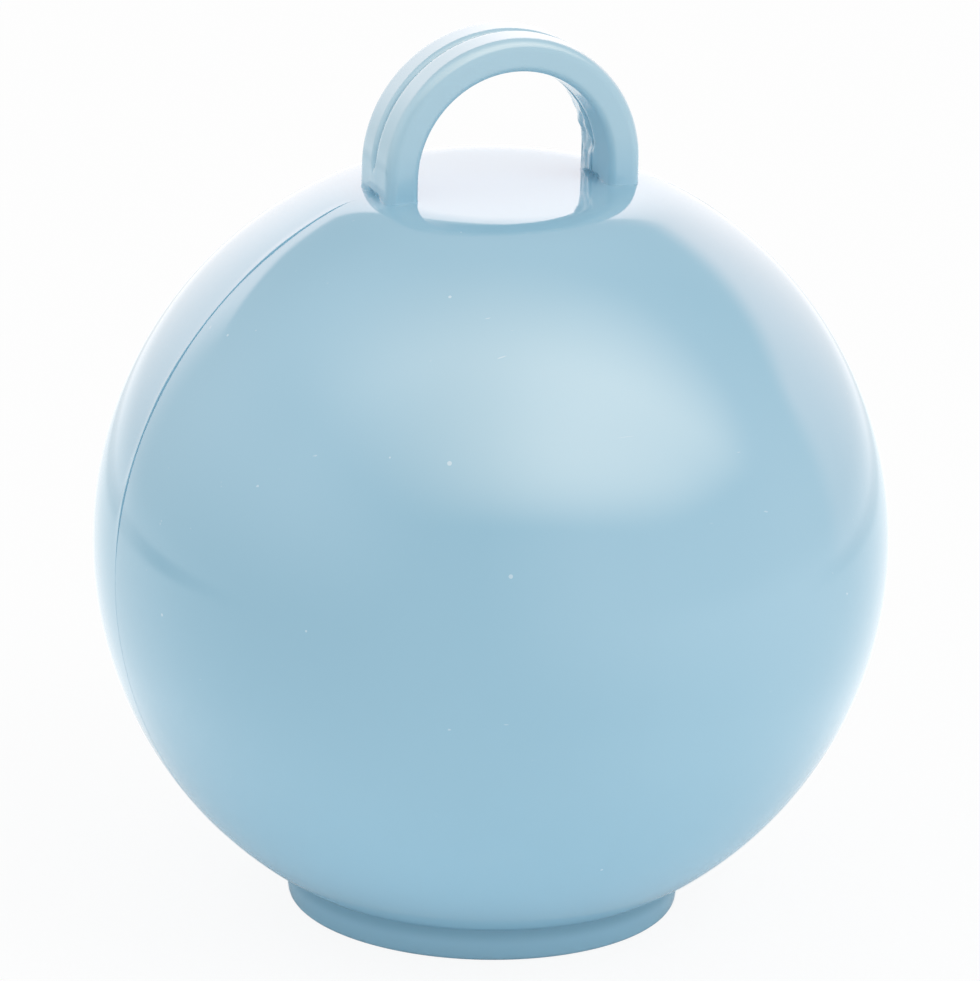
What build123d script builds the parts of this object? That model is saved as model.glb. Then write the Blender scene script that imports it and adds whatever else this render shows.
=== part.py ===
from build123d import *
import os
from math import atan2, degrees, hypot, sqrt

# Balloon weight: a hollow plastic ball in two half shells, parted on the plane of its ribbon loop.
# A short foot ring carries it, dry sand fills it, and a push-in stopper closes the recessed base.
# Millimetres, +Z up. The origin is at the centre of the foot ring's underside; -Y is the front.

# Ball, flattened on top to a land that the loop stands on, with a soft rounding from the land into the ball
ball_diameter = 47.0
shell_wall = 1.8
land_drop = 1.7
land_rounding = 8.0

# Ribbon loop: an arch on two short legs, its band narrower at the front and rear than at the parting plane
loop_opening = 11.2
loop_band = 2.5
loop_depth = 4.8
loop_draft = 0.23
loop_leg = 1.3
loop_outer_edge_radius = 0.6
loop_inner_edge_radius = 1.0
loop_root_radius = 0.5
seam_groove_depth = 0.25

# Foot ring, wider at the ball than at the ground, and the base recessed inside it
foot_diameter = 23.1
foot_draft = 0.3
foot_height = 2.0
foot_wall = 1.7
foot_edge_radius = 0.3
foot_crease_radius = 0.3
base_recess = 2.6
base_thickness = 1.8

# Filling hole, with the neck that stands up round it inside the ball
hole_diameter = 9.0
neck_wall = 1.4
neck_rise = 2.6

# Tongue on the front half's parting face, in a groove of the rear half's
tongue_width = 0.6
tongue_height = 0.8
tongue_clearance = 0.08
tongue_start = 2.0
tongue_stop = 2.5

# Sand, short of the top and loose against the wall
sand_headroom = 3.5
sand_clearance = 0.3

# Stopper: flange, hollow shank with sealing beads, a notch to prise it out and a gate dimple
plug_flange_overlap = 2.5
plug_flange_thickness = 1.2
plug_length = 4.6
plug_wall = 1.1
plug_floor = 1.2
plug_clearance = 0.05
plug_bead_height = 0.3
plug_bead_levels = (1.5, 3.2)
plug_lead_in = 0.4
plug_edge_radius = 0.4
pry_notch_width = 3.2
pry_notch_depth = 1.0
gate_dimple_diameter = 3.6
gate_dimple_depth = 0.4

# Levels and radii that follow from the sizes above
ball_radius = ball_diameter / 2
inner_radius = ball_radius - shell_wall
middle_radius = ball_radius - shell_wall / 2
foot_radius = foot_diameter / 2
foot_top_radius = foot_radius + foot_draft
ball_z = foot_height + sqrt(ball_radius**2 - foot_top_radius**2)
ball_centre = Vector(0, 0, ball_z)
floor_z = base_recess + base_thickness
neck_top_z = floor_z + neck_rise
hole_radius = hole_diameter / 2
neck_radius = hole_radius + neck_wall
loop_inner = loop_opening / 2
loop_outer = loop_inner + loop_band
land_z = ball_z + ball_radius - land_drop
roof_z = land_z - shell_wall
loop_z = land_z + loop_leg

# Cutters stand this far out of what they cut, and points this near to each other are taken as one
cutter_reach = 0.5
touch = 0.05


def radius_at(sphere_radius, z):
    """Distance from the ball's axis to a sphere about the ball's centre, at the height z."""
    return sqrt(sphere_radius**2 - (z - ball_z) ** 2)


def rounded(face, corners, radius):
    """The flat face with the corners at the given points rounded."""
    picked = [face.vertices().sort_by_distance(corner)[0] for corner in corners]
    return fillet(picked, radius)


def half_ball():
    """Front half of the ball with its foot ring, recessed base and filler neck, all one wall."""
    foot_bore = foot_radius - foot_wall
    crease = (foot_top_radius, foot_height)
    foot_rim = [(foot_radius, 0), (foot_bore, 0)]
    floor_edge = (radius_at(inner_radius, floor_z), floor_z)
    land_edge = (radius_at(ball_radius, land_z), land_z)
    roof_edge = (radius_at(inner_radius, roof_z), roof_z)
    land = Line((0, land_z), land_edge)
    outside = ThreePointArc(land_edge, (ball_radius, ball_z), crease)
    underside = Polyline(crease, *foot_rim, (foot_bore, base_recess), (hole_radius, base_recess))
    neck = Polyline(
        (hole_radius, base_recess),
        (hole_radius, neck_top_z),
        (neck_radius, neck_top_z),
        (neck_radius, floor_z),
        floor_edge,
    )
    inside = ThreePointArc(floor_edge, (inner_radius, ball_z), roof_edge)
    roof = Polyline(roof_edge, (0, roof_z), (0, land_z))
    section = make_face([land, outside, underside, neck, inside, roof])
    section = rounded(section, foot_rim, foot_edge_radius)
    section = rounded(section, [crease], foot_crease_radius)
    section = rounded(section, [land_edge], land_rounding)
    section = rounded(section, [roof_edge], land_rounding - shell_wall)
    rear = revolve(Plane.XZ * section, axis=Axis.Z, revolution_arc=180)
    return Rot(0, 0, 180) * rear


def half_loop():
    """Front half of the ribbon loop: a drafted arch with rounded front edges, rooted in the ball's wall."""
    leg = loop_leg + shell_wall / 2
    outline = make_face(
        [
            Line((-loop_outer, -leg), (-loop_outer, 0)),
            ThreePointArc((-loop_outer, 0), (0, loop_outer), (loop_outer, 0)),
            Polyline((loop_outer, 0), (loop_outer, -leg), (loop_inner, -leg), (loop_inner, 0)),
            ThreePointArc((loop_inner, 0), (0, loop_inner), (-loop_inner, 0)),
            Polyline((-loop_inner, 0), (-loop_inner, -leg), (-loop_outer, -leg)),
        ]
    )
    half_depth = loop_depth / 2
    arch = extrude(Plane.XZ * outline, half_depth, taper=degrees(atan2(loop_draft, half_depth)))

    def on_outside(edge):
        middle = edge @ 0.5
        return hypot(middle.X, max(middle.Z, 0)) > (loop_inner + loop_outer) / 2

    for inside, radius in ((False, loop_outer_edge_radius), (True, loop_inner_edge_radius)):
        front_face = arch.faces().sort_by(Axis.Y)[0]
        rim = front_face.edges().sort_by(Axis.Z)[2:]
        arch = fillet(rim.filter_by(on_outside, reverse=inside), radius)
    return Pos(0, 0, loop_z) * arch


def seam_bevel(wall_radius, into_band):
    """Bevel off the arch's parting edge: the two halves leave a V-shaped groove that ends at the legs."""
    outside_x = wall_radius - into_band * cutter_reach
    tip_x = wall_radius + into_band * seam_groove_depth
    width = seam_groove_depth + cutter_reach
    bevel = make_face(Polyline((tip_x, 0), (outside_x, 0), (outside_x, -width), (tip_x, 0)))
    arch_axis = Axis((0, 0, loop_z), (0, -1, 0))
    return revolve(Pos(0, 0, loop_z) * bevel, axis=arch_axis, revolution_arc=180)


def plain_half():
    """Front half shell before its tongue: the half ball and half loop, blended at the legs' feet."""
    half = half_ball() + half_loop()

    def at_leg_root(edge):
        middle = edge @ 0.5
        in_band = loop_inner - touch < abs(middle.X) < loop_outer + touch
        in_depth = -loop_depth / 2 - touch < middle.Y < -touch
        on_land = land_z - loop_root_radius < middle.Z < land_z + touch
        return in_band and in_depth and on_land

    half = fillet(half.edges().filter_by(at_leg_root), loop_root_radius)
    half -= seam_bevel(loop_outer, -1)
    half -= seam_bevel(loop_inner, 1)
    return half


def tongue_ring(clearance):
    """Rib on the middle of the wall, standing back from the parting plane, between the base and the land."""
    width = tongue_width + 2 * clearance
    height = tongue_height + clearance
    rearward = (Align.CENTER, Align.CENTER, Align.MAX)
    outer = Cylinder(middle_radius + width / 2, height, align=rearward)
    inner = Cylinder(middle_radius - width / 2, height, align=rearward)
    ring = Pos(ball_centre) * Rot(90, 0, 0) * (outer - inner)
    low_z = floor_z + tongue_start - clearance
    high_z = land_z - tongue_stop + clearance
    return ring & Pos(0, 0, (low_z + high_z) / 2) * Box(ball_diameter, ball_diameter, high_z - low_z)


def sand_fill():
    """Loose ballast: it fills the ball from the base up to a level top, round the neck and its stopper."""
    outer = inner_radius - sand_clearance
    low_z = floor_z + sand_clearance
    neck_side = neck_radius + sand_clearance
    neck_cover_z = max(neck_top_z, base_recess + plug_length) + sand_clearance
    top_z = roof_z - sand_headroom
    low_edge = (radius_at(outer, low_z), low_z)
    top_edge = (radius_at(outer, top_z), top_z)
    neck_pocket = [(0, neck_cover_z), (neck_side, neck_cover_z), (neck_side, low_z)]
    section = make_face(
        [
            Polyline((0, top_z), *neck_pocket, low_edge),
            ThreePointArc(low_edge, (outer, ball_z), top_edge),
            Line(top_edge, (0, top_z)),
        ]
    )
    return revolve(Plane.XZ * section, axis=Axis.Z)


def filler_plug():
    """Stopper: a flange against the base and a hollow shank with two sealing beads, open at the top."""
    shank = hole_radius - plug_clearance - plug_bead_height
    bore = shank - plug_wall
    rim = hole_radius + plug_flange_overlap
    dimple = gate_dimple_diameter / 2
    low = -plug_flange_thickness
    underside = [(0, low + gate_dimple_depth), (dimple, low + gate_dimple_depth), (dimple, low), (rim, low)]
    shank_end = [(shank, plug_length - plug_lead_in), (shank - plug_lead_in, plug_length)]
    cup = [(bore, plug_length), (bore, plug_floor), (0, plug_floor)]
    section = make_face(Polyline(*underside, (rim, 0), (shank, 0), *shank_end, *cup, underside[0]))
    section = rounded(section, [(rim, low)], plug_edge_radius)
    for level in plug_bead_levels:
        section += Pos(shank, level) * Circle(plug_bead_height)
    plug = revolve(Plane.XZ * section, axis=Axis.Z)
    notch = Cylinder(pry_notch_width / 2, 2 * plug_flange_thickness + cutter_reach)
    plug -= Pos(0, pry_notch_depth - pry_notch_width / 2 - rim, 0) * notch
    return Pos(0, 0, base_recess) * plug


half = plain_half()
nodes = {
    "front_shell": half + tongue_ring(0),
    "rear_shell": Rot(0, 0, 180) * half - tongue_ring(tongue_clearance),
    "sand_fill": sand_fill(),
    "filler_plug": filler_plug(),
}

os.makedirs("parts", exist_ok=True)
for name, solid in nodes.items():
    export_step(solid, f"parts/{name}.step")
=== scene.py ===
import math

import bmesh
import bpy
from mathutils import Matrix, Vector, noise


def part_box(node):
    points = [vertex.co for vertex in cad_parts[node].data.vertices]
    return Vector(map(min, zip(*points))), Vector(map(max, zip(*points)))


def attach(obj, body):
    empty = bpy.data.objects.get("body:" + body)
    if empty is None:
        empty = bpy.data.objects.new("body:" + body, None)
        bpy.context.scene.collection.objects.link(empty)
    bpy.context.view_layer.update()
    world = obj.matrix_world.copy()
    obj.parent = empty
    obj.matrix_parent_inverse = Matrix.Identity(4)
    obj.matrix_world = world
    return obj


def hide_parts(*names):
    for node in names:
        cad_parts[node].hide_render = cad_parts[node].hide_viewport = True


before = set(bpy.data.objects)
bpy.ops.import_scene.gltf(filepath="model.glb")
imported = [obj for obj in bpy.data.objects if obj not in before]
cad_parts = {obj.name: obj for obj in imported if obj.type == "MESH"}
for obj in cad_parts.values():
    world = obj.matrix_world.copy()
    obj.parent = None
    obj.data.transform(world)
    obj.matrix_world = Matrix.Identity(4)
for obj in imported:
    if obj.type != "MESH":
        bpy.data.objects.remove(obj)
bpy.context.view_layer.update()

# The ball's half shells: injection mouldings of glossy pastel-blue plastic, welded on the plane of the loop.
# Each is half of the hollow ball with its flat land, foot ring, recessed base and filler neck, all one wall.
# The rear half stands a little proud at the weld, and a crevice under the ball sets off the foot.
mm = 0.001
ball_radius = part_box("front_shell")[1].x
wall = 1.8 * mm
land_drop = 1.7 * mm
land_rounding = 8.0 * mm
foot_radius = 11.55 * mm
foot_draft = 0.3 * mm
foot_height = 2.0 * mm
foot_bore = 9.85 * mm
foot_edge = 0.3 * mm
crevice_width = 0.3 * mm
crevice_depth = 0.4 * mm
crevice_slope = 0.1 * mm
base_recess = 2.6 * mm
floor_z = 4.4 * mm
hole_radius = 4.5 * mm
neck_radius = 5.9 * mm
neck_top = 7.0 * mm
foot_top_radius = foot_radius + foot_draft
inner_radius = ball_radius - wall
ball_z = foot_height + math.sqrt(ball_radius**2 - foot_top_radius**2)
land_z = ball_z + ball_radius - land_drop
rounding_z = land_z - land_rounding
rounding_r = math.sqrt((ball_radius - land_rounding) ** 2 - (rounding_z - ball_z) ** 2)
shoulder_angle = math.atan2(rounding_z - ball_z, rounding_r)
half_turn_steps = 110
seam_rows = [distance * mm for distance in (0.03, 0.06, 0.1, 0.15, 0.22, 0.32, 0.45, 0.6, 0.8)]
seam_low_z = foot_height + 0.8 * mm
parting_sink = 0.02 * mm
lump_size = 4 * mm
skin_reach = 0.05 * mm
touch = 0.001 * mm


def share(value, start, end):
    """How far a value has come from start to end, between 0 and 1."""
    return min(1, max(0, (value - start) / (end - start)))


def arc(centre_r, centre_z, radius, start, end, steps):
    """Points of a round stretch of a section, each as distance from the ball's axis and height."""
    angles = [start + (end - start) * step / steps for step in range(steps + 1)]
    return [(centre_r + radius * math.cos(a), centre_z + radius * math.sin(a)) for a in angles]


def spin_section(bm, section, turn, steps):
    """Spin a chain of section points about the ball's axis."""
    verts = [bm.verts.new((r, 0, z)) for r, z in section]
    edges = [bm.edges.new(pair) for pair in zip(verts, verts[1:])]
    whole = math.isclose(abs(turn), math.tau)
    bmesh.ops.spin(
        bm, geom=verts + edges, cent=(0, 0, 0), axis=(0, 0, 1), angle=turn, steps=steps, use_merge=whole
    )
    bmesh.ops.remove_doubles(bm, verts=bm.verts, dist=touch)


def round_ring(bm, radius, z, offset, segments):
    """Round off the edges that run about the axis at a radius and height."""

    def on_ring(vert):
        at_radius = math.isclose(vert.co.xy.length, radius, abs_tol=touch)
        return at_radius and math.isclose(vert.co.z, z, abs_tol=touch)

    ring = [edge for edge in bm.edges if all(on_ring(vert) for vert in edge.verts)]
    bmesh.ops.bevel(
        bm, geom=ring, offset=offset, segments=segments, profile=0.5, affect="EDGES", material=-1
    )


def skin(point):
    """Nearest point of the ball's outer skin, with the direction that it faces."""
    out = Vector((point.x, point.y, 0))
    r = out.length
    if r <= rounding_r:
        return Vector((point.x, point.y, land_z)), Vector((0, 0, 1))
    out.normalize()
    angle = math.atan2(point.z - rounding_z, r - rounding_r)
    centre_r, centre_z, radius = rounding_r, rounding_z, land_rounding
    if angle < shoulder_angle:
        angle = math.atan2(point.z - ball_z, r)
        centre_r, centre_z, radius = 0, ball_z, ball_radius
    facing = out * math.cos(angle) + Vector((0, 0, math.sin(angle)))
    return out * centre_r + Vector((0, 0, centre_z)) + facing * radius, facing


def shell_section():
    """The wall's section, from the land round the outside, the foot and the neck, to the roof inside."""
    lip_radius = foot_top_radius + crevice_width
    lip_angle = -math.acos(lip_radius / ball_radius)
    crevice_top = foot_height + crevice_depth
    roof_corner = math.sqrt(inner_radius**2 - (land_z - wall - ball_z) ** 2)
    roof_angle = math.atan2(land_z - wall - ball_z, roof_corner)
    floor_angle = -math.acos(math.sqrt(1 - ((floor_z - ball_z) / inner_radius) ** 2))
    land = [(rounding_r * step / 6, land_z) for step in range(6)]
    shoulder = arc(rounding_r, rounding_z, land_rounding, math.pi / 2, shoulder_angle, 14)
    outside = arc(0, ball_z, ball_radius, shoulder_angle, lip_angle, 84)
    crevice = [(lip_radius - crevice_slope, crevice_top), (foot_top_radius, crevice_top)]
    foot = [(foot_top_radius, foot_height), (foot_radius, 0), (foot_bore, 0), (foot_bore, base_recess)]
    hole = [(hole_radius, base_recess), (hole_radius, neck_top)]
    neck = [(neck_radius, neck_top), (neck_radius, floor_z)]
    inside = arc(0, ball_z, inner_radius, floor_angle, roof_angle, 30)
    outer_side = land + shoulder + outside[1:] + crevice + foot
    return outer_side + hole + neck + inside + [(0, land_z - wall)]


def seam_strength(rise, on_right):
    """How plain the parting line is: it fades on the land and the underside, and is faint on the right."""
    plain = share(rise, 0.97, 0.82) * max(0.12, share(rise, 0, 0.2))
    if on_right:
        plain *= 0.1 + 0.6 * share(rise, 0.7, 0.5)
    return plain


def half_ball(proud, edge_width, left):
    """Front half of the ball, with a lip beside the parting line and the parting edge itself turned in."""
    bm = bmesh.new()
    spin_section(bm, shell_section(), -math.pi, half_turn_steps)
    round_ring(bm, foot_radius, 0, foot_edge, 5)
    round_ring(bm, foot_bore, 0, foot_edge, 4)
    for distance in seam_rows:
        whole = bm.verts[:] + bm.edges[:] + bm.faces[:]
        bmesh.ops.bisect_plane(bm, geom=whole, dist=touch, plane_co=(0, -distance, 0), plane_no=(0, 1, 0))
    for vert in bm.verts:
        if abs(vert.co.y) < touch:
            vert.co.y = 0
        place, facing = skin(vert.co)
        if vert.co.z < seam_low_z or (vert.co - place).length > skin_reach:
            continue
        uneven = 1 + 0.6 * noise.noise(Vector((place.x, 0, place.z)) / lump_size)
        lip = proud * max(0, 1 - abs(place.y) / seam_rows[-1]) ** 2
        turned_in = parting_sink * max(0, 1 - abs(place.y) / edge_width) ** 2
        relief = (lip - turned_in) * uneven * seam_strength(facing.z, place.x * left < 0)
        vert.co = Vector((place.x, place.y, place.z)) + Vector((facing.x, 0, facing.z)) * relief
    parting = [edge for edge in bm.edges if edge.is_boundary]
    bmesh.ops.triangle_fill(bm, use_beauty=True, edges=parting)
    bmesh.ops.recalc_face_normals(bm, faces=bm.faces)
    return bm


# The ribbon loop: an arch on two short legs, half of it moulded on each half shell.
# The halves' small bevels leave a V-shaped groove round the arch, which stops where the legs begin.
# The feet are undercut on their left, and the rear half has ragged flash on the inside of the right leg.
loop_outer = 7.96 * mm
loop_inner = 5.76 * mm
loop_half_depth = 2.4 * mm
outer_draft = 0.05 * mm
inner_draft = 0.23 * mm
outer_edge = 0.6 * mm
inner_edge = 0.4 * mm
groove_bevel = 0.36 * mm
core = 0.8 * mm
root_height = 0.4 * mm
root_fillet = 0.03 * mm
loop_z = land_z + 1.3 * mm
long_side = 0.8 * mm
groove_fade = (0.25 * mm, 0.65 * mm)
flash_grain = 0.6 * mm
bite_grain = 0.35 * mm
bite_reach = 1.6 * mm
bite_depth = 1.2 * root_height
leg_start = 0.08 * mm
leg_sink = 0.3 * mm


def half_loop(left, flash):
    """Half of the loop: its section spun over the arch, then pushed down as legs, with any ragged flash."""
    bm = bmesh.new()
    parting = [(loop_inner, 0), (loop_outer, 0)]
    front = [(loop_outer - outer_draft, -loop_half_depth), (loop_inner + inner_draft, -loop_half_depth)]
    verts = [bm.verts.new((x, y, loop_z)) for x, y in parting + front]
    bm.faces.new(verts)
    for corner, radius in ((verts[2], outer_edge), (verts[3], inner_edge)):
        bmesh.ops.bevel(
            bm, geom=[corner], offset=radius, segments=8, profile=0.5, affect="VERTICES", material=-1
        )
    bmesh.ops.bevel(
        bm, geom=verts[:2], offset=groove_bevel, segments=3, profile=0.5, affect="VERTICES", material=-1
    )
    sides = []
    for edge in bm.edges:
        foremost = min(vert.co.y for vert in edge.verts)
        if edge.calc_length() > long_side and foremost < -core:
            sides.append(edge)
    bmesh.ops.subdivide_edges(bm, edges=sides, cuts=7)
    whole = bm.verts[:] + bm.edges[:] + bm.faces[:]
    bmesh.ops.spin(
        bm, geom=whole, cent=(0, 0, loop_z), axis=(0, -1, 0), angle=math.pi, steps=88
    )
    bm.normal_update()
    for vert in bm.verts:
        spoke = Vector((vert.co.x, 0, vert.co.z - loop_z))
        filled = 1 - share(spoke.z, *groove_fade)
        if vert.co.y > -groove_bevel - touch:
            flush = loop_outer if spoke.length > (loop_outer + loop_inner) / 2 else loop_inner
            vert.co += spoke.normalized() * (flush - spoke.length) * filled
    ends = [face for face in bm.faces if all(abs(vert.co.z - loop_z) < touch for vert in face.verts)]
    for end in ends:
        push_leg(bm, end, left)
    for vert in bm.verts:
        spoke = Vector((vert.co.x, 0, max(vert.co.z - loop_z, 0)))
        if vert.co.x * left < 0 and spoke.length < loop_inner + inner_draft + touch:
            low = max(0, 1 - spoke.z / (0.7 * loop_inner))
            vert.co += spoke.normalized() * flash * low * noise.noise(vert.co / flash_grain)
    bmesh.ops.recalc_face_normals(bm, faces=bm.faces)
    return bm


def push_leg(bm, end, left):
    """Push an end of the arch down to the land, without the groove, to a fillet or undercut at the foot."""
    side = math.copysign(1, end.calc_center_median().x)
    outline = []
    for vert in end.verts:
        reach, y = abs(vert.co.x), vert.co.y
        if y > -groove_bevel - touch:
            reach = loop_outer if reach > (loop_outer + loop_inner) / 2 else loop_inner
        across = reach - min(max(reach, loop_inner + core), loop_outer - core)
        along = y - max(y, core - loop_half_depth)
        out = Vector((across * side, along, 0)).normalized()
        ragged = 0.5 + noise.noise(Vector((side, y / bite_grain, 0)))
        bitten = share(out.x * left, 0.3, 0.8) * max(0, 1 + y / bite_reach) * ragged
        outline.append((reach * side, y, out, bitten))
    rings = [(0, None)]
    for step in range(9):
        down = step / 8
        rings.append((down, root_height * (1 - down)))
    rings.append((1, -leg_sink))
    for down, height in rings:
        end = bmesh.ops.extrude_discrete_faces(bm, faces=[end])["faces"][0]
        fillet = root_fillet * (1 - math.sqrt(1 - down**2))
        bite = bite_depth * down**2 * (3 - 2 * down)
        for vert, (x, y, out, bitten) in zip(end.verts, outline):
            place = Vector((x, y, 0)) + out * (fillet * (1 - bitten) - bite * bitten)
            if height is None:
                place.z = loop_z - leg_start
            else:
                place.z = skin(Vector((place.x, place.y, land_z)))[0].z + height
            vert.co = place


def shell_piece(name, proud, edge_width, flash, turn):
    """A half shell as an object: ball and loop in one mesh, turned to its side of the parting plane."""
    # Sign of X on the object's left, before the turn
    left = -math.cos(turn)
    bm = half_ball(proud, edge_width, left)
    loop = half_loop(left, flash)
    carried = bpy.data.meshes.new("loop")
    loop.to_mesh(carried)
    loop.free()
    bm.from_mesh(carried)
    bpy.data.meshes.remove(carried)
    bmesh.ops.rotate(bm, verts=bm.verts, cent=(0, 0, 0), matrix=Matrix.Rotation(turn, 3, "Z"))
    return finished(bm, name)


def finished(bm, name):
    """Write a bmesh to an object of its own, smooth but for its real edges."""
    mesh = bpy.data.meshes.new(name)
    bm.to_mesh(mesh)
    bm.free()
    mesh.polygons.foreach_set("use_smooth", [True] * len(mesh.polygons))
    mesh.set_sharp_from_angle(angle=math.radians(40))
    piece = bpy.data.objects.new(name, mesh)
    bpy.context.scene.collection.objects.link(piece)
    return piece


def node(tree, kind, inputs={}, **settings):
    """Add a shader node. An input is a value or another node's output."""
    made = tree.nodes.new(kind)
    for name, value in settings.items():
        setattr(made, name, value)
    for socket, value in inputs.items():
        if isinstance(value, bpy.types.NodeSocket):
            tree.links.new(value, made.inputs[socket])
        else:
            made.inputs[socket].default_value = value
    return made


def moulded_skin_group():
    """Marks of a cheap glossy moulding: cloudy colour, a slow ripple, pin-prick dust and fine scuffs."""
    group = bpy.data.node_groups.new("moulded skin", "ShaderNodeTree")
    for name in ("Cloud", "Ripple", "Dust", "Scuff"):
        group.interface.new_socket(name, in_out="OUTPUT", socket_type="NodeSocketFloat")
    place = node(group, "ShaderNodeTexCoord").outputs["Object"]
    cloud = node(group, "ShaderNodeTexNoise", {"Vector": place, "Scale": 55.0, "Detail": 3.0})
    slow = node(group, "ShaderNodeTexNoise", {"Vector": place, "Scale": 75.0, "Detail": 1.0})
    peel = node(group, "ShaderNodeTexNoise", {"Vector": place, "Scale": 700.0, "Detail": 2.0})
    faint_peel = node(group, "ShaderNodeMath", {0: peel.outputs["Fac"], 1: 0.02}, operation="MULTIPLY")
    ripple = node(group, "ShaderNodeMath", {0: slow.outputs["Fac"], 1: faint_peel.outputs[0]})
    grains = node(group, "ShaderNodeTexVoronoi", {"Vector": place, "Scale": 400.0, "Randomness": 1.0})
    pick = node(group, "ShaderNodeSeparateColor", {"Color": grains.outputs["Color"]})
    size = node(
        group, "ShaderNodeMapRange",
        {"Value": pick.outputs["Red"], "From Min": 0.7, "From Max": 1.0, "To Min": 0.0, "To Max": 0.06},
    )
    dust = node(
        group, "ShaderNodeMath",
        {0: grains.outputs["Distance"], 1: size.outputs[0]}, operation="LESS_THAN",
    )
    stretch = node(
        group, "ShaderNodeMapping",
        {"Vector": place, "Rotation": (0.5, 0.9, 0.3), "Scale": (1.0, 14.0, 14.0)},
    )
    strokes = node(group, "ShaderNodeTexNoise", {"Vector": stretch.outputs[0], "Scale": 160.0, "Detail": 2.0})
    scuff = node(
        group, "ShaderNodeMapRange",
        {"Value": strokes.outputs["Fac"], "From Min": 0.76, "From Max": 0.82},
    )
    out = node(group, "NodeGroupOutput")
    group.links.new(cloud.outputs["Fac"], out.inputs["Cloud"])
    group.links.new(ripple.outputs[0], out.inputs["Ripple"])
    group.links.new(dust.outputs[0], out.inputs["Dust"])
    group.links.new(scuff.outputs[0], out.inputs["Scuff"])
    return group


moulded_skin = moulded_skin_group()
# Painted light: the height band where the loop is made paler, for light shining through its thin plastic
through_light_band = (land_z - 0.3 * mm, land_z + 3 * mm)
# Painted shade: the band below and above the crease at the top of the foot, where the colour is darkened
crease_shade_below = (-1.0 * mm, -0.1 * mm)
crease_shade_above = (0.6 * mm, 0.1 * mm)


def plastic(name, deep, pale, loop_through_light, crease_shade_colour, dusty, gloss, ripple_height):
    """Moulded plastic in two close shades, dusty and scuffed, with painted light paling the thin loop and
    painted shade darkening the crease at the foot.
    """
    material = bpy.data.materials.new(name)
    material.use_nodes = True
    tree = material.node_tree
    shader = tree.nodes["Principled BSDF"]
    marks = node(tree, "ShaderNodeGroup", node_tree=moulded_skin)
    shade = node(
        tree, "ShaderNodeMix",
        {"Factor": marks.outputs["Cloud"], "A": deep, "B": pale}, data_type="RGBA",
    )
    place = node(tree, "ShaderNodeTexCoord").outputs["Object"]
    height = node(tree, "ShaderNodeSeparateXYZ", {0: place}).outputs["Z"]
    # Painted light: the colour turns paler up the loop, for light shining through its thin plastic
    through_light_mask = node(
        tree, "ShaderNodeMapRange",
        {"Value": height, "From Min": through_light_band[0], "From Max": through_light_band[1]},
    )
    shade = node(
        tree, "ShaderNodeMix",
        {"Factor": through_light_mask.outputs[0], "A": shade.outputs["Result"], "B": loop_through_light}, data_type="RGBA",
    )
    # Painted shade: the colour darkens in the crease over the foot, where the ball's overhang shades it
    off_crease = node(tree, "ShaderNodeMath", {0: height, 1: foot_height}, operation="SUBTRACT").outputs[0]
    below = node(
        tree, "ShaderNodeMapRange",
        {"Value": off_crease, "From Min": crease_shade_below[0], "From Max": crease_shade_below[1]},
        interpolation_type="SMOOTHSTEP",
    )
    above = node(
        tree, "ShaderNodeMapRange",
        {"Value": off_crease, "From Min": crease_shade_above[0], "From Max": crease_shade_above[1]},
        interpolation_type="SMOOTHSTEP",
    )
    crease_shade_mask = node(tree, "ShaderNodeMath", {0: below.outputs[0], 1: above.outputs[0]}, operation="MULTIPLY")
    shade = node(
        tree, "ShaderNodeMix",
        {"Factor": crease_shade_mask.outputs[0], "A": shade.outputs["Result"], "B": crease_shade_colour}, data_type="RGBA",
    )
    dull = node(
        tree, "ShaderNodeMath",
        {0: marks.outputs["Dust"], 1: marks.outputs["Scuff"]}, operation="MAXIMUM",
    )
    cover = node(tree, "ShaderNodeMath", {0: dull.outputs[0], 1: 0.5}, operation="MULTIPLY")
    colour = node(
        tree, "ShaderNodeMix",
        {"Factor": cover.outputs[0], "A": shade.outputs["Result"], "B": dusty}, data_type="RGBA",
    )
    rough = node(
        tree, "ShaderNodeMapRange",
        {"Value": marks.outputs["Cloud"], "To Min": gloss[0], "To Max": gloss[1]},
    )
    bump = node(
        tree, "ShaderNodeBump",
        {"Height": marks.outputs["Ripple"], "Strength": 1.0, "Distance": ripple_height},
    )
    tree.links.new(colour.outputs["Result"], shader.inputs["Base Color"])
    tree.links.new(rough.outputs[0], shader.inputs["Roughness"])
    tree.links.new(bump.outputs[0], shader.inputs["Normal"])
    shader.inputs["IOR"].default_value = 1.5
    return material


shell_plastic = plastic(
    "pastel blue gloss",
    # The paler loop colour is painted light through the thin plastic
    deep=(0.307, 0.532, 0.670, 1), pale=(0.327, 0.558, 0.696, 1), loop_through_light=(0.402, 0.608, 0.718, 1),
    # The darker crease colour is painted shade
    crease_shade_colour=(0.225, 0.420, 0.545, 1), dusty=(0.72, 0.82, 0.88, 1),
    gloss=(0.05, 0.08), ripple_height=0.05 * mm,
)
front_shell = shell_piece("front_half", proud=0, edge_width=0.08 * mm, flash=0, turn=0)
rear_shell = shell_piece("rear_half", proud=0.07 * mm, edge_width=0.06 * mm, flash=0.25 * mm, turn=math.pi)
for piece, replaced in ((front_shell, "front_shell"), (rear_shell, "rear_shell")):
    piece.data.materials.append(shell_plastic)
    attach(piece, "shell")
    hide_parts(replaced)

# The ballast: dry river sand poured in through the base, so it lies round the neck and has an uneven top.
# It stays loose, a little clear of the wall, and stops short of the roof.
sand_low, sand_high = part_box("sand_fill")
sand_radius = sand_high.x
sand_gap = 0.3 * mm
heap = 0.5 * mm
heap_size = 5 * mm
shank_length = 4.6 * mm


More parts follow.
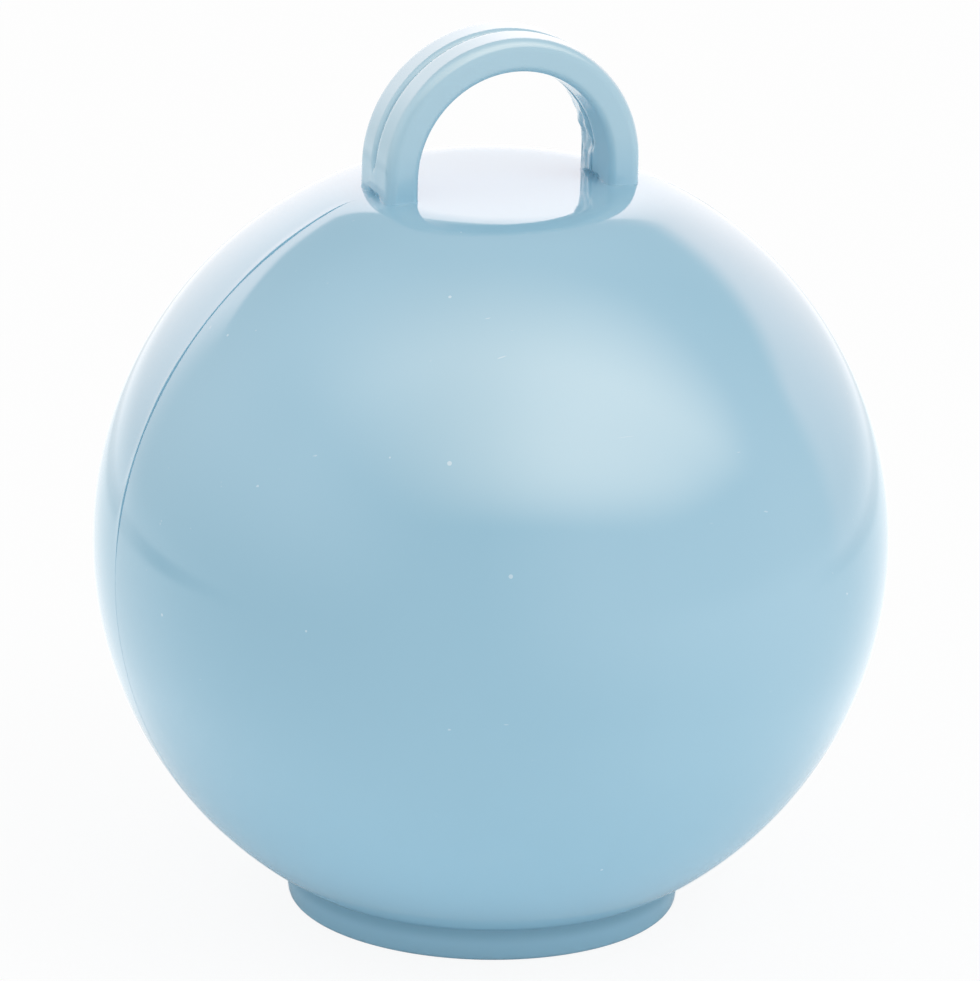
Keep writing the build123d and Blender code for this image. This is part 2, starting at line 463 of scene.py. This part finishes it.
def sand_piece():
    """Spun body of sand with its top heaped unevenly."""
    bm = bmesh.new()
    low_angle = math.asin((sand_low.z - ball_z) / sand_radius)
    top_angle = math.asin((sand_high.z - ball_z) / sand_radius)
    pocket_z = max(neck_top, base_recess + shank_length) + sand_gap
    pocket_r = neck_radius + sand_gap
    side = arc(0, ball_z, sand_radius, low_angle, top_angle, 40)
    top = [(side[-1][0] * (15 - step) / 15, sand_high.z) for step in range(1, 16)]
    pocket = [(0, pocket_z), (pocket_r, pocket_z), (pocket_r, sand_low.z)]
    spin_section(bm, pocket + side + top, math.tau, 96)
    for vert in bm.verts:
        if abs(vert.co.z - sand_high.z) < touch and vert.co.xy.length < side[-1][0] - touch:
            vert.co.z += heap * (noise.noise(vert.co / heap_size) - 0.6)
    bmesh.ops.recalc_face_normals(bm, faces=bm.faces)
    return finished(bm, "sand")


def sand_material():
    """Grains of several browns with a few dark ones, matte, and rough to the light."""
    material = bpy.data.materials.new("dry sand")
    material.use_nodes = True
    tree = material.node_tree
    shader = tree.nodes["Principled BSDF"]
    place = node(tree, "ShaderNodeTexCoord").outputs["Object"]
    grains = node(tree, "ShaderNodeTexVoronoi", {"Vector": place, "Scale": 2200.0})
    pick = node(tree, "ShaderNodeSeparateColor", {"Color": grains.outputs["Color"]})
    hues = node(tree, "ShaderNodeValToRGB", {"Fac": pick.outputs["Red"]})
    hues.color_ramp.elements[0].color = (0.20, 0.13, 0.07, 1)
    hues.color_ramp.elements[0].position = 0.04
    hues.color_ramp.elements[1].color = (0.74, 0.60, 0.40, 1)
    middle = hues.color_ramp.elements.new(0.25)
    middle.color = (0.57, 0.42, 0.24, 1)
    bump = node(
        tree, "ShaderNodeBump",
        {"Height": grains.outputs["Distance"], "Strength": 0.8, "Distance": 0.2 * mm}, invert=True,
    )
    tree.links.new(hues.outputs["Color"], shader.inputs["Base Color"])
    tree.links.new(bump.outputs[0], shader.inputs["Normal"])
    shader.inputs["Roughness"].default_value = 0.95
    return material


sand = sand_piece()
sand.data.materials.append(sand_material())
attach(sand, "shell")
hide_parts("sand_fill")

# The stopper: a softer plastic of the same blue, pushed into the filling hole after the sand.
# A flange closes on the recessed base, and two beads round the hollow shank hold it in.
# It has the gate's dimple in the middle, and a notch in the rim to prise it out by.
flange_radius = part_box("filler_plug")[1].x
flange_thickness = 1.2 * mm
shank_radius = 4.15 * mm
shank_bore = 3.05 * mm
shank_floor = 1.2 * mm
lead_in = 0.4 * mm
bead_radius = 0.3 * mm
bead_levels = (1.5 * mm, 3.2 * mm)
dimple_radius = 1.8 * mm
dimple_depth = 0.4 * mm
dimple_edge = 0.15 * mm
notch_radius = 1.6 * mm
notch_depth = 1.0 * mm
rim_rounding = 0.4 * mm


def stopper_piece():
    """Spun stopper, with the rim's points drawn in to make the notch."""
    bm = bmesh.new()
    low_z = base_recess - flange_thickness
    underside = [(0, low_z + dimple_depth), (dimple_radius, low_z + dimple_depth), (dimple_radius, low_z)]
    rim = [(flange_radius, low_z), (flange_radius, base_recess), (shank_radius, base_recess)]
    beads = []
    for level in bead_levels:
        beads += arc(shank_radius, base_recess + level, bead_radius, -math.pi / 2, math.pi / 2, 10)
    tip_z = base_recess + shank_length
    tip = [(shank_radius, tip_z - lead_in), (shank_radius - lead_in, tip_z), (shank_bore, tip_z)]
    cup = [(shank_bore, base_recess + shank_floor), (0, base_recess + shank_floor)]
    spin_section(bm, underside + rim + beads + tip + cup, math.tau, 160)
    round_ring(bm, flange_radius, low_z, rim_rounding, 5)
    notch_y = -flange_radius - notch_radius + notch_depth
    for vert in bm.verts:
        if vert.co.y < 0 and abs(vert.co.x) < notch_radius:
            notch_edge = notch_y + math.sqrt(notch_radius**2 - vert.co.x**2)
            vert.co.y = max(vert.co.y, notch_edge)
    bmesh.ops.recalc_face_normals(bm, faces=bm.faces)
    round_ring(bm, dimple_radius, low_z, dimple_edge, 3)
    return finished(bm, "stopper")


stopper = stopper_piece()
stopper.data.materials.append(
    plastic(
        "pastel blue satin",
        deep=(0.300, 0.520, 0.655, 1), pale=(0.327, 0.558, 0.696, 1), loop_through_light=(0.327, 0.558, 0.696, 1),
        # Painted shade in the crease band, here only the deep blue
        crease_shade_colour=(0.300, 0.520, 0.655, 1), dusty=(0.62, 0.72, 0.78, 1),
        gloss=(0.36, 0.50), ripple_height=0.08 * mm,
    )
)
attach(stopper, "stopper")
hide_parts("filler_plug")

# The studio: white paper in a white light tent, with a panel behind, cards at the sides and a lamp above.
# The gloss mirrors these; the tent itself gives an even, plain light, with a softbox at the front right.
# The paper has a lit ring round the object, and a hole under the foot that lets light into the base.
camera_azimuth = math.radians(-22.33)
tent_light = 0.83
floor_radius = 2.0
hole_margin = 0.05 * mm
floor_hole = foot_radius - foot_edge - hole_margin
paper_fade = (0.018, 0.042)
ring_light = 0.22
ring_start = (0.011, 0.021)
ring_end = (0.09, 0.04)
camera_white = 0.9


def floor_material():
    """White paper, see-through from below and far off to reflections. Only diffuse rays see its lit ring."""
    material = bpy.data.materials.new("white paper")
    material.use_nodes = True
    tree = material.node_tree
    shader = tree.nodes["Principled BSDF"]
    shader.inputs["Base Color"].default_value = (0.97, 0.97, 0.97, 1)
    shader.inputs["Roughness"].default_value = 0.9
    shader.inputs["Specular IOR Level"].default_value = 0.0
    shader.inputs["Emission Color"].default_value = (1, 1, 1, 1)
    path = node(tree, "ShaderNodeLightPath").outputs
    below = node(tree, "ShaderNodeNewGeometry").outputs["Backfacing"]
    place = node(tree, "ShaderNodeTexCoord").outputs["Object"]
    away = node(tree, "ShaderNodeVectorMath", {0: place}, operation="LENGTH").outputs["Value"]

    def fade(start, end, level):
        edges = {"Value": away, "From Min": start, "From Max": end, "To Max": level}
        return node(tree, "ShaderNodeMapRange", edges, interpolation_type="SMOOTHSTEP").outputs[0]

    def product(first, second):
        return node(tree, "ShaderNodeMath", {0: first, 1: second}, operation="MULTIPLY").outputs[0]

    def mixed(factor, first, second):
        return node(tree, "ShaderNodeMixShader", {0: factor, 1: first, 2: second}).outputs[0]

    ring = product(fade(*ring_start, ring_light), fade(*ring_end, 1.0))
    tree.links.new(product(path["Is Diffuse Ray"], ring), shader.inputs["Emission Strength"])
    white = node(tree, "ShaderNodeEmission", {"Color": (1, 1, 1, 1), "Strength": 1.0})
    paper = mixed(product(path["Is Camera Ray"], camera_white), shader.outputs[0], white.outputs[0])
    clear = node(tree, "ShaderNodeBsdfTransparent")
    past_edge = product(path["Is Glossy Ray"], fade(*paper_fade, 1.0))
    see_through = node(tree, "ShaderNodeMath", {0: below, 1: past_edge}, operation="MAXIMUM")
    seen = mixed(see_through.outputs[0], paper, clear.outputs[0])
    tree.links.new(seen, tree.nodes["Material Output"].inputs["Surface"])
    return material


floor_bm = bmesh.new()
spin_section(floor_bm, [(floor_hole, 0), (floor_radius, 0)], math.tau, 96)
floor_mesh = bpy.data.meshes.new("floor")
floor_bm.to_mesh(floor_mesh)
floor_bm.free()
floor_mesh.materials.append(floor_material())
floor = bpy.data.objects.new("floor", floor_mesh)
bpy.context.scene.collection.objects.link(floor)


def light_tent():
    """World light: even white, with what the gloss mirrors as soft patches that only reflections see."""
    world = bpy.data.worlds.new("light tent")
    world.use_nodes = True
    tree = world.node_tree
    tree.nodes.clear()

    def math_node(operation, *values):
        return node(tree, "ShaderNodeMath", dict(enumerate(values)), operation=operation).outputs[0]

    def product(first, *others):
        for other in others:
            first = math_node("MULTIPLY", first, other)
        return first

    def ramp(value, start, end):
        edges = {"Value": value, "From Min": start, "From Max": end}
        return node(tree, "ShaderNodeMapRange", edges, interpolation_type="SMOOTHSTEP").outputs[0]

    def angle_ramp(angle, start, end):
        return ramp(angle, math.radians(start), math.radians(end))

    def off_centre(angle, centre, half_width):
        offset = math_node("SUBTRACT", angle, math.radians(centre))
        return math_node("DIVIDE", offset, math.radians(half_width))

    def card_reach(side, half_width, rise, half_height):
        """Distance from the middle of a card with rounded corners, 1 at its edge."""
        across = math_node("POWER", off_centre(sideways, side, half_width), 4.0)
        along = math_node("POWER", off_centre(height, rise, half_height), 4.0)
        return math_node("POWER", math_node("ADD", across, along), 0.25)

    look = node(tree, "ShaderNodeTexCoord").outputs["Generated"]
    turned = node(tree, "ShaderNodeMapping", {"Vector": look, "Rotation": (0, 0, -camera_azimuth)})
    axes = node(tree, "ShaderNodeSeparateXYZ", {0: turned.outputs[0]}).outputs
    sideways = math_node("ARCTAN2", axes["X"], axes["Y"])
    height = math_node("ARCSINE", axes["Z"])

    # Panel behind the object, brighter towards its arched top, which is crisp on the left, soft on the right
    crown = math_node("ADD", height, product(sideways, sideways, 0.215))
    panel_level = node(
        tree, "ShaderNodeMapRange",
        {"Value": angle_ramp(height, -14, 30), "To Min": 0.3, "To Max": 1.8},
    ).outputs[0]
    panel_sides = product(angle_ramp(sideways, -59, -42), angle_ramp(sideways, 70, 58))
    panel = product(panel_level, angle_ramp(height, -13, -10), panel_sides)
    rightward = angle_ramp(sideways, 0, 30)
    panel_left = product(panel, math_node("SUBTRACT", 1.0, rightward), ramp(crown, 0.602, 0.567))
    panel_right = product(panel, rightward, ramp(crown, 0.70, 0.50))

    # Reflector cards at both sides
    left_card = product(ramp(card_reach(-98, 46, 34, 32), 1.5, 0.3), 1.3)
    right_card = product(ramp(card_reach(118, 50, 22, 45), 1.4, 0.6), 0.8)

    # Lamp above the front, on a flat ceiling, and the brighter roof round it
    upward = math_node("MAXIMUM", axes["Z"], 0.05)
    across = math_node("DIVIDE", axes["X"], upward)
    along = math_node("DIVIDE", axes["Y"], upward)
    lamp_width = product(ramp(across, -1.4, 0.6), ramp(across, 3.6, 0.6))
    lamp = product(lamp_width, ramp(along, -2.7, -0.9), ramp(along, 0.35, -0.45), 4.0)
    roof = product(angle_ramp(height, 35, 75), 0.8)

    # Low light at the back and the sides, and the dark line of the table's far edge
    rearward = math_node("ADD", product(axes["X"], 0.5), axes["Y"])
    beside = math_node("ABSOLUTE", axes["X"])
    low_light = product(ramp(beside, -0.2, 0.5), angle_ramp(height, -2, -12), ramp(rearward, -0.8, 0.1), 0.4)
    off_edge = math_node("ABSOLUTE", math_node("SUBTRACT", height, math.radians(-11.5)))
    left_dark = product(angle_ramp(sideways, -50, -75), 0.5)
    right_dark = product(angle_ramp(sideways, 80, 60), 0.2)
    edge_dark = math_node("ADD", left_dark, right_dark)
    table_edge = product(angle_ramp(off_edge, 2.4, 0.6), ramp(rearward, -0.9, -0.1), edge_dark)

    path = node(tree, "ShaderNodeLightPath").outputs
    mirrored = path["Is Glossy Ray"]
    clear = math_node("MAXIMUM", path["Is Camera Ray"], mirrored)
    clear = math_node("MAXIMUM", clear, path["Is Transmission Ray"])
    even = node(tree, "ShaderNodeMapRange", {"Value": clear, "To Min": tent_light, "To Max": 1.0}).outputs[0]
    light = node(tree, "ShaderNodeCombineXYZ", {0: even, 1: even, 2: even}).outputs[0]
    for patch, tint in (
        (panel_left, (1.25, 0.96, 0.88)),
        (panel_right, (1.08, 0.68, 0.54)),
        (left_card, (1.0, 1.0, 1.0)),
        (right_card, (1.05, 0.92, 0.86)),
        (lamp, (1.25, 1.0, 0.75)),
        (roof, (1.1, 1.0, 0.9)),
        (low_light, (1.0, 1.0, 1.0)),
    ):
        level = product(mirrored, patch)
        tinted = node(tree, "ShaderNodeVectorMath", {0: tint, "Scale": level}, operation="SCALE").outputs[0]
        light = node(tree, "ShaderNodeVectorMath", {0: light, 1: tinted}, operation="ADD").outputs[0]
    shaded = math_node("SUBTRACT", 1.0, product(mirrored, table_edge))
    light = node(tree, "ShaderNodeVectorMath", {0: light, "Scale": shaded}, operation="SCALE").outputs[0]
    background = node(tree, "ShaderNodeBackground", {"Color": light, "Strength": 1.0})
    out = node(tree, "ShaderNodeOutputWorld")
    tree.links.new(background.outputs[0], out.inputs["Surface"])
    return world


bpy.context.scene.world = light_tent()
key_data = bpy.data.lights.new("key softbox", "AREA")
key_data.shape = "DISK"
key_data.size = 0.5
key_data.energy = 1.5
key = bpy.data.objects.new("key softbox", key_data)
key.visible_glossy = False
key.location = (0.45, -0.62, 0.85)
key.rotation_euler = (Vector((0, 0, ball_z)) - key.location).to_track_quat("-Z", "Y").to_euler()
bpy.context.scene.collection.objects.link(key)

# The camera: a long lens at the photograph's angle, rolled by the lean of the object in its frame.
# The ball's outline is 398 pixels in radius there, about the point (490.8, 538.2) of 980 by 981.
camera_elevation = math.radians(18.08)
camera_roll = math.radians(1.48)
camera_distance = 20 * ball_radius
frame_width, frame_height = 980, 981
ball_pixel_x, ball_pixel_y, ball_pixel_radius = 490.8, 538.2, 398.0
focal_pixels = ball_pixel_radius * math.sqrt((camera_distance / ball_radius) ** 2 - 1)
back = Vector(
    (
        math.sin(camera_azimuth) * math.cos(camera_elevation),
        -math.cos(camera_azimuth) * math.cos(camera_elevation),
        math.sin(camera_elevation),
    )
)
level_right = Vector((math.cos(camera_azimuth), math.sin(camera_azimuth), 0))
level_up = back.cross(level_right)
right = level_right * math.cos(camera_roll) + level_up * math.sin(camera_roll)
up = level_up * math.cos(camera_roll) - level_right * math.sin(camera_roll)
shift_right = (ball_pixel_x - frame_width / 2) / focal_pixels * camera_distance
shift_down = (ball_pixel_y - frame_height / 2) / focal_pixels * camera_distance
place = Vector((0, 0, ball_z)) + back * camera_distance - right * shift_right + up * shift_down
camera_data = bpy.data.cameras.new("camera")
camera_data.sensor_width = 36.0
camera_data.lens = focal_pixels * camera_data.sensor_width / max(frame_width, frame_height)
camera_data.clip_start = 0.01
camera_data.clip_end = 20.0
camera = bpy.data.objects.new("camera", camera_data)
camera.matrix_world = Matrix.Translation(place) @ Matrix((right, up, back)).transposed().to_4x4()
bpy.context.scene.collection.objects.link(camera)
bpy.context.scene.camera = camera
bpy.context.scene.view_settings.view_transform = "Standard"
